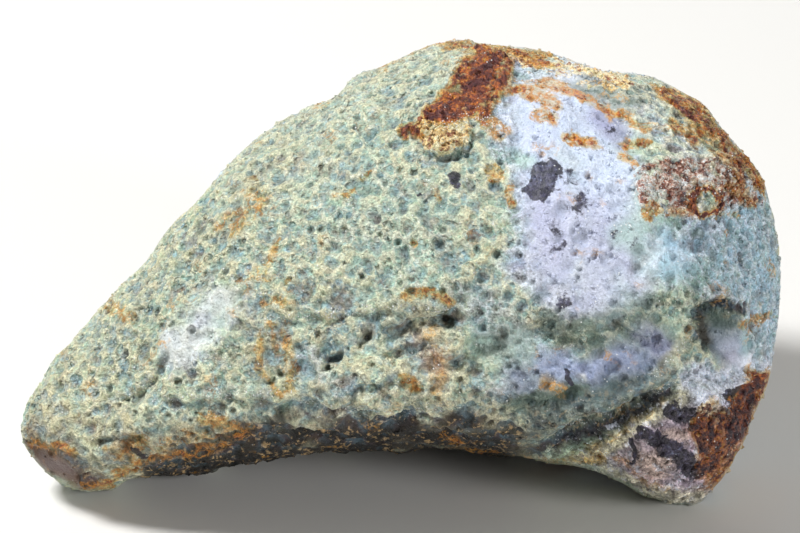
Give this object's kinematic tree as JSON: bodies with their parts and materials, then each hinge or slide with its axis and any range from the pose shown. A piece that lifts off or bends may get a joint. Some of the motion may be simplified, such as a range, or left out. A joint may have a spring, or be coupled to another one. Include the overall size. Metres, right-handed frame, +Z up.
{
  "type": "fortification agate nodule",
  "caption": "Teardrop-shaped natural agate nodule with a pitted green and blue-white skin, iron stains, a deep hollow, a broken corner and a worn flat to rest on.",
  "frame": {"origin": "middle of the bounding box's bottom face, level with the worn flat that the stone rests on", "axes": "+X along the stone from the narrow tail to the bulging end, +Y away from the show face, +Z up"},
  "size_m": [0.065, 0.0406, 0.0355],
  "materials": {
    "stone": "pitted and matt green skin, satin blue-white chalcedony, iron-stained crusts"
  },
  "bodies": {
    "root": {"agate_nodule": "stone"}
  },
  "joints": []
}
